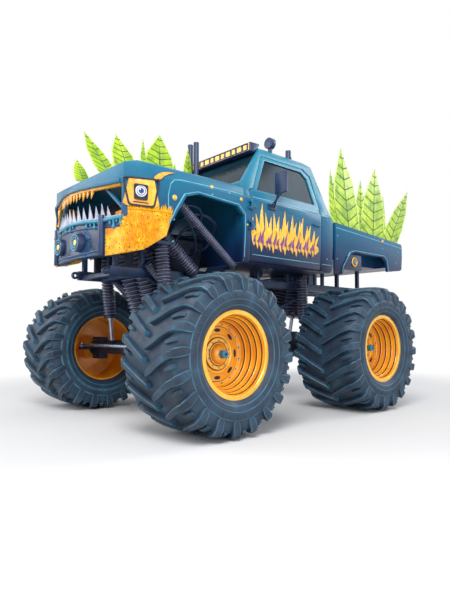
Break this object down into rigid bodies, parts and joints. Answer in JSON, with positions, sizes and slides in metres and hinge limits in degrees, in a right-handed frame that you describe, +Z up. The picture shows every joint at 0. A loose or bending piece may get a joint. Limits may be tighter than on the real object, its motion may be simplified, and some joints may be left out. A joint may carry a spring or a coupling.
{
  "type": "monster truck",
  "caption": "Monster truck in the shape of a beast: giant lugged tyres, four-wheel steering, toothed front, leaf-shaped crests, opening doors and tailgate.",
  "frame": {"origin": "middle of the truck's box on the ground", "axes": "+X to the nose, +Y to the driver's left, +Z up"},
  "size_m": [6.0652, 3.67, 3.8978],
  "materials": {
    "axle_blue": "satin",
    "bar_gold": "gloss",
    "bellows_rubber": "satin",
    "body_teal": "gloss",
    "bumper_navy": "gloss",
    "case_metal": "satin",
    "crest_lime": "satin",
    "dash_plastic": "matte",
    "engine_iron": "satin",
    "fang_orange": "gloss",
    "frame_blue": "satin",
    "jaw_yellow": "satin",
    "knuckle_iron": "satin",
    "lamp_blue": "gloss",
    "lamp_orange": "gloss",
    "mirror_black": "gloss",
    "pod_blue": "gloss",
    "radiator_metal": "matte",
    "rim_orange": "gloss",
    "seat_vinyl": "matte",
    "shaft_steel": "satin",
    "stack_dark": "gloss",
    "tooth_grey": "satin",
    "tyre_rubber": "matte",
    "window_glass": "gloss"
  },
  "bodies": {
    "chassis": {"frame_rails": "frame_blue", "frame_crossbars": "frame_blue", "body_mounts": "frame_blue", "frame_diagonals": "frame_blue", "link_brackets": "frame_blue", "shock_towers": "frame_blue", "engine": "engine_iron", "gearbox": "case_metal", "transfer_case": "case_metal", "drive_shafts": "shaft_steel", "front_axle": "axle_blue", "rear_axle": "axle_blue", "suspension_links": "axle_blue", "bellows": "bellows_rubber", "hoses": "bellows_rubber", "cab_shell": "body_teal", "cab_glass": "window_glass", "roll_cage": "frame_blue", "driver_seat": "seat_vinyl", "dashboard": "dash_plastic", "front_clip": "body_teal", "headlamps": "lamp_orange", "radiator": "radiator_metal", "upper_teeth": "fang_orange", "lower_teeth": "tooth_grey", "lower_jaw": "jaw_yellow", "front_bumper": "bumper_navy", "front_lamps": "lamp_blue", "light_bar": "bar_gold", "roof_lamps": "lamp_blue", "exhaust_stacks": "stack_dark", "bed_shell": "body_teal", "marker_pods": "pod_blue", "crest_hood": "crest_lime", "crest_bed": "crest_lime"},
    "knuckle_front_left": {"knuckle_front_left": "knuckle_iron"},
    "wheel_front_left": {"tyre_front_left": "tyre_rubber", "rim_front_left": "rim_orange"},
    "knuckle_front_right": {"knuckle_front_right": "knuckle_iron"},
    "wheel_front_right": {"tyre_front_right": "tyre_rubber", "rim_front_right": "rim_orange"},
    "knuckle_rear_left": {"knuckle_rear_left": "knuckle_iron"},
    "wheel_rear_left": {"tyre_rear_left": "tyre_rubber", "rim_rear_left": "rim_orange"},
    "knuckle_rear_right": {"knuckle_rear_right": "knuckle_iron"},
    "wheel_rear_right": {"tyre_rear_right": "tyre_rubber", "rim_rear_right": "rim_orange"},
    "tie_rod_front": {"tie_rod_front": "shaft_steel"},
    "tie_rod_rear": {"tie_rod_rear": "shaft_steel"},
    "door_left": {"door_left": "body_teal", "door_glass_left": "window_glass", "mirror_left": "mirror_black"},
    "door_right": {"door_right": "body_teal", "door_glass_right": "window_glass", "mirror_right": "mirror_black"},
    "tailgate": {"tailgate": "body_teal"}
  },
  "joints": [
    {"name": "steer_front_left", "type": "hinge", "parent": "chassis", "child": "knuckle_front_left", "pos_m": [2.02144, 1.1, 0.83776], "axis": [0, 0, 1], "range_deg": [-25, 25]},
    {"name": "spin_front_left", "type": "hinge", "parent": "knuckle_front_left", "child": "wheel_front_left", "pos_m": [2.02144, 1.35, 0.83776], "axis": [0, 1, 0], "continuous": true},
    {"name": "steer_front_right", "type": "hinge", "parent": "chassis", "child": "knuckle_front_right", "pos_m": [2.02144, -1.1, 0.83776], "axis": [0, 0, 1], "range_deg": [-25, 25]},
    {"name": "spin_front_right", "type": "hinge", "parent": "knuckle_front_right", "child": "wheel_front_right", "pos_m": [2.02144, -1.35, 0.83776], "axis": [0, 1, 0], "continuous": true},
    {"name": "tie_rod_front_pivot", "type": "hinge", "parent": "knuckle_front_left", "child": "tie_rod_front", "pos_m": [2.28144, 1.1, 0.83776], "axis": [0, 0, 1], "range_deg": [-25, 25]},
    {"name": "steer_rear_left", "type": "hinge", "parent": "chassis", "child": "knuckle_rear_left", "pos_m": [-0.67856, 1.1, 0.83776], "axis": [0, 0, 1], "range_deg": [-25, 25]},
    {"name": "spin_rear_left", "type": "hinge", "parent": "knuckle_rear_left", "child": "wheel_rear_left", "pos_m": [-0.67856, 1.35, 0.83776], "axis": [0, 1, 0], "continuous": true},
    {"name": "steer_rear_right", "type": "hinge", "parent": "chassis", "child": "knuckle_rear_right", "pos_m": [-0.67856, -1.1, 0.83776], "axis": [0, 0, 1], "range_deg": [-25, 25]},
    {"name": "spin_rear_right", "type": "hinge", "parent": "knuckle_rear_right", "child": "wheel_rear_right", "pos_m": [-0.67856, -1.35, 0.83776], "axis": [0, 1, 0], "continuous": true},
    {"name": "tie_rod_rear_pivot", "type": "hinge", "parent": "knuckle_rear_right", "child": "tie_rod_rear", "pos_m": [-0.93856, -1.1, 0.83776], "axis": [0, 0, 1], "range_deg": [-25, 25]},
    {"name": "door_left_hinge", "type": "hinge", "parent": "chassis", "child": "door_left", "pos_m": [1.04344, 1.005, 2.52936], "axis": [0, 0, -1], "range_deg": [0, 65]},
    {"name": "door_right_hinge", "type": "hinge", "parent": "chassis", "child": "door_right", "pos_m": [1.04344, -1.005, 2.52936], "axis": [0, 0, 1], "range_deg": [0, 65]},
    {"name": "tailgate_hinge", "type": "hinge", "parent": "chassis", "child": "tailgate", "pos_m": [-2.62356, 0, 2.15676], "axis": [0, -1, 0], "range_deg": [0, 90]}
  ],
  "couplings": [
    {"joint": "steer_front_right", "follows": "steer_front_left", "ratio": 1},
    {"joint": "tie_rod_front_pivot", "follows": "steer_front_left", "ratio": -1},
    {"joint": "steer_rear_left", "follows": "steer_rear_right", "ratio": 1},
    {"joint": "tie_rod_rear_pivot", "follows": "steer_rear_right", "ratio": -1}
  ]
}
